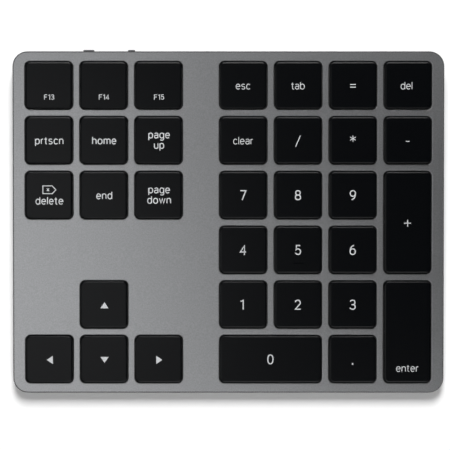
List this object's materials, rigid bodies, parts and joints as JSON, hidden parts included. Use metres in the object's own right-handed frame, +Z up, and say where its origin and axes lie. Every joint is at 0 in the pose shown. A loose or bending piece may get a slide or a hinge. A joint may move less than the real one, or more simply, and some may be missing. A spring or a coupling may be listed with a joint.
{
  "type": "numeric keypad",
  "caption": "Low wireless numeric keypad with navigation and arrow keys in a sloping aluminium case; scissor keys, rear power slider, pairing button and USB-C port.",
  "frame": {"origin": "on the surface the keypad stands on, under the middle of the case", "axes": "+X to the right seen from above, +Y to the rear edge with the port and switches, +Z up"},
  "size_m": [0.15, 0.1196, 0.0114],
  "materials": {
    "case_aluminium": "bead-blasted space-grey anodising, polished chamfers",
    "keycap_plastic": "fine satin black, light legends",
    "cover_plastic": "fine texture, dark grey",
    "foot_rubber": "matt black",
    "screw_steel": "dark plated",
    "plate_steel": "bare stamped steel",
    "can_steel": "tinned, satin",
    "film_plastic": "black polyester film",
    "connector_plastic": "natural white",
    "dome_rubber": "black silicone",
    "lever_plastic": "black, satin",
    "board_laminate": "green solder mask",
    "cell_foil": "silver pouch foil",
    "tape_foam": "black foam tape",
    "lead_insulation": "red insulation",
    "tongue_plastic": "black",
    "switch_plastic": "black",
    "control_plastic": "black"
  },
  "bodies": {
    "housing": {"battery": "cell_foil", "battery_connector": "connector_plastic", "battery_leads": "lead_insulation", "battery_tape": "tape_foam", "board_screws": "screw_steel", "bottom_cover": "cover_plastic", "cover_screws": "screw_steel", "main_board": "board_laminate", "membrane_tail": "film_plastic", "pairing_switch_body": "switch_plastic", "plate_screws": "screw_steel", "power_switch_body": "switch_plastic", "radio_controller": "can_steel", "rubber_domes": "dome_rubber", "rubber_feet": "foot_rubber", "scissor_inner_levers": "lever_plastic", "scissor_outer_levers": "lever_plastic", "stabiliser_wires": "plate_steel", "support_plate": "plate_steel", "switch_membrane": "film_plastic", "tail_connector": "connector_plastic", "top_case": "case_aluminium", "usb_c_shell": "can_steel", "usb_c_tongue": "tongue_plastic"},
    "key_arrow_down": {"key_arrow_down": "keycap_plastic"},
    "key_arrow_left": {"key_arrow_left": "keycap_plastic"},
    "key_arrow_right": {"key_arrow_right": "keycap_plastic"},
    "key_arrow_up": {"key_arrow_up": "keycap_plastic"},
    "key_clear": {"key_clear": "keycap_plastic"},
    "key_delete": {"key_delete": "keycap_plastic"},
    "key_delete_forward": {"key_delete_forward": "keycap_plastic"},
    "key_divide": {"key_divide": "keycap_plastic"},
    "key_eight": {"key_eight": "keycap_plastic"},
    "key_end": {"key_end": "keycap_plastic"},
    "key_enter": {"key_enter": "keycap_plastic"},
    "key_equals": {"key_equals": "keycap_plastic"},
    "key_escape": {"key_escape": "keycap_plastic"},
    "key_f13": {"key_f13": "keycap_plastic"},
    "key_f14": {"key_f14": "keycap_plastic"},
    "key_f15": {"key_f15": "keycap_plastic"},
    "key_five": {"key_five": "keycap_plastic"},
    "key_four": {"key_four": "keycap_plastic"},
    "key_home": {"key_home": "keycap_plastic"},
    "key_minus": {"key_minus": "keycap_plastic"},
    "key_multiply": {"key_multiply": "keycap_plastic"},
    "key_nine": {"key_nine": "keycap_plastic"},
    "key_one": {"key_one": "keycap_plastic"},
    "key_page_down": {"key_page_down": "keycap_plastic"},
    "key_page_up": {"key_page_up": "keycap_plastic"},
    "key_plus": {"key_plus": "keycap_plastic"},
    "key_point": {"key_point": "keycap_plastic"},
    "key_print_screen": {"key_print_screen": "keycap_plastic"},
    "key_seven": {"key_seven": "keycap_plastic"},
    "key_six": {"key_six": "keycap_plastic"},
    "key_tab": {"key_tab": "keycap_plastic"},
    "key_three": {"key_three": "keycap_plastic"},
    "key_two": {"key_two": "keycap_plastic"},
    "key_zero": {"key_zero": "keycap_plastic"},
    "power_switch_knob": {"power_switch_knob": "control_plastic"},
    "pairing_button": {"pairing_button": "control_plastic"}
  },
  "joints": [
    {"name": "arrow_down_press", "type": "slide", "parent": "housing", "child": "key_arrow_down", "axis": [0, 0.0349, -0.9994], "range_m": [0, 0.0015], "stiffness_N_per_m": 375, "springref_m": -0.0008},
    {"name": "arrow_left_press", "type": "slide", "parent": "housing", "child": "key_arrow_left", "axis": [0, 0.0349, -0.9994], "range_m": [0, 0.0015], "stiffness_N_per_m": 375, "springref_m": -0.0008},
    {"name": "arrow_right_press", "type": "slide", "parent": "housing", "child": "key_arrow_right", "axis": [0, 0.0349, -0.9994], "range_m": [0, 0.0015], "stiffness_N_per_m": 375, "springref_m": -0.0008},
    {"name": "arrow_up_press", "type": "slide", "parent": "housing", "child": "key_arrow_up", "axis": [0, 0.0349, -0.9994], "range_m": [0, 0.0015], "stiffness_N_per_m": 375, "springref_m": -0.0008},
    {"name": "clear_press", "type": "slide", "parent": "housing", "child": "key_clear", "axis": [0, 0.0349, -0.9994], "range_m": [0, 0.0015], "stiffness_N_per_m": 375, "springref_m": -0.0008},
    {"name": "delete_press", "type": "slide", "parent": "housing", "child": "key_delete", "axis": [0, 0.0349, -0.9994], "range_m": [0, 0.0015], "stiffness_N_per_m": 375, "springref_m": -0.0008},
    {"name": "delete_forward_press", "type": "slide", "parent": "housing", "child": "key_delete_forward", "axis": [0, 0.0349, -0.9994], "range_m": [0, 0.0015], "stiffness_N_per_m": 375, "springref_m": -0.0008},
    {"name": "divide_press", "type": "slide", "parent": "housing", "child": "key_divide", "axis": [0, 0.0349, -0.9994], "range_m": [0, 0.0015], "stiffness_N_per_m": 375, "springref_m": -0.0008},
    {"name": "eight_press", "type": "slide", "parent": "housing", "child": "key_eight", "axis": [0, 0.0349, -0.9994], "range_m": [0, 0.0015], "stiffness_N_per_m": 375, "springref_m": -0.0008},
    {"name": "end_press", "type": "slide", "parent": "housing", "child": "key_end", "axis": [0, 0.0349, -0.9994], "range_m": [0, 0.0015], "stiffness_N_per_m": 375, "springref_m": -0.0008},
    {"name": "enter_press", "type": "slide", "parent": "housing", "child": "key_enter", "axis": [0, 0.0349, -0.9994], "range_m": [0, 0.0015], "stiffness_N_per_m": 375, "springref_m": -0.0008},
    {"name": "equals_press", "type": "slide", "parent": "housing", "child": "key_equals", "axis": [0, 0.0349, -0.9994], "range_m": [0, 0.0015], "stiffness_N_per_m": 375, "springref_m": -0.0008},
    {"name": "escape_press", "type": "slide", "parent": "housing", "child": "key_escape", "axis": [0, 0.0349, -0.9994], "range_m": [0, 0.0015], "stiffness_N_per_m": 375, "springref_m": -0.0008},
    {"name": "f13_press", "type": "slide", "parent": "housing", "child": "key_f13", "axis": [0, 0.0349, -0.9994], "range_m": [0, 0.0015], "stiffness_N_per_m": 375, "springref_m": -0.0008},
    {"name": "f14_press", "type": "slide", "parent": "housing", "child": "key_f14", "axis": [0, 0.0349, -0.9994], "range_m": [0, 0.0015], "stiffness_N_per_m": 375, "springref_m": -0.0008},
    {"name": "f15_press", "type": "slide", "parent": "housing", "child": "key_f15", "axis": [0, 0.0349, -0.9994], "range_m": [0, 0.0015], "stiffness_N_per_m": 375, "springref_m": -0.0008},
    {"name": "five_press", "type": "slide", "parent": "housing", "child": "key_five", "axis": [0, 0.0349, -0.9994], "range_m": [0, 0.0015], "stiffness_N_per_m": 375, "springref_m": -0.0008, "deforming": ["rubber_domes", "scissor_outer_levers", "scissor_inner_levers", "stabiliser_wires"]},
    {"name": "four_press", "type": "slide", "parent": "housing", "child": "key_four", "axis": [0, 0.0349, -0.9994], "range_m": [0, 0.0015], "stiffness_N_per_m": 375, "springref_m": -0.0008},
    {"name": "home_press", "type": "slide", "parent": "housing", "child": "key_home", "axis": [0, 0.0349, -0.9994], "range_m": [0, 0.0015], "stiffness_N_per_m": 375, "springref_m": -0.0008},
    {"name": "minus_press", "type": "slide", "parent": "housing", "child": "key_minus", "axis": [0, 0.0349, -0.9994], "range_m": [0, 0.0015], "stiffness_N_per_m": 375, "springref_m": -0.0008},
    {"name": "multiply_press", "type": "slide", "parent": "housing", "child": "key_multiply", "axis": [0, 0.0349, -0.9994], "range_m": [0, 0.0015], "stiffness_N_per_m": 375, "springref_m": -0.0008},
    {"name": "nine_press", "type": "slide", "parent": "housing", "child": "key_nine", "axis": [0, 0.0349, -0.9994], "range_m": [0, 0.0015], "stiffness_N_per_m": 375, "springref_m": -0.0008},
    {"name": "one_press", "type": "slide", "parent": "housing", "child": "key_one", "axis": [0, 0.0349, -0.9994], "range_m": [0, 0.0015], "stiffness_N_per_m": 375, "springref_m": -0.0008},
    {"name": "page_down_press", "type": "slide", "parent": "housing", "child": "key_page_down", "axis": [0, 0.0349, -0.9994], "range_m": [0, 0.0015], "stiffness_N_per_m": 375, "springref_m": -0.0008},
    {"name": "page_up_press", "type": "slide", "parent": "housing", "child": "key_page_up", "axis": [0, 0.0349, -0.9994], "range_m": [0, 0.0015], "stiffness_N_per_m": 375, "springref_m": -0.0008},
    {"name": "plus_press", "type": "slide", "parent": "housing", "child": "key_plus", "axis": [0, 0.0349, -0.9994], "range_m": [0, 0.0015], "stiffness_N_per_m": 375, "springref_m": -0.0008},
    {"name": "point_press", "type": "slide", "parent": "housing", "child": "key_point", "axis": [0, 0.0349, -0.9994], "range_m": [0, 0.0015], "stiffness_N_per_m": 375, "springref_m": -0.0008},
    {"name": "print_screen_press", "type": "slide", "parent": "housing", "child": "key_print_screen", "axis": [0, 0.0349, -0.9994], "range_m": [0, 0.0015], "stiffness_N_per_m": 375, "springref_m": -0.0008},
    {"name": "seven_press", "type": "slide", "parent": "housing", "child": "key_seven", "axis": [0, 0.0349, -0.9994], "range_m": [0, 0.0015], "stiffness_N_per_m": 375, "springref_m": -0.0008},
    {"name": "six_press", "type": "slide", "parent": "housing", "child": "key_six", "axis": [0, 0.0349, -0.9994], "range_m": [0, 0.0015], "stiffness_N_per_m": 375, "springref_m": -0.0008},
    {"name": "tab_press", "type": "slide", "parent": "housing", "child": "key_tab", "axis": [0, 0.0349, -0.9994], "range_m": [0, 0.0015], "stiffness_N_per_m": 375, "springref_m": -0.0008},
    {"name": "three_press", "type": "slide", "parent": "housing", "child": "key_three", "axis": [0, 0.0349, -0.9994], "range_m": [0, 0.0015], "stiffness_N_per_m": 375, "springref_m": -0.0008},
    {"name": "two_press", "type": "slide", "parent": "housing", "child": "key_two", "axis": [0, 0.0349, -0.9994], "range_m": [0, 0.0015], "stiffness_N_per_m": 375, "springref_m": -0.0008},
    {"name": "zero_press", "type": "slide", "parent": "housing", "child": "key_zero", "axis": [0, 0.0349, -0.9994], "range_m": [0, 0.0015], "stiffness_N_per_m": 375, "springref_m": -0.0008},
    {"name": "power_slide", "type": "slide", "parent": "housing", "child": "power_switch_knob", "axis": [1, 0, 0], "range_m": [-0.002, 0]},
    {"name": "pairing_press", "type": "slide", "parent": "housing", "child": "pairing_button", "axis": [0, -1, 0], "range_m": [0, 0.0003], "stiffness_N_per_m": 3000, "springref_m": -0.0002}
  ]
}
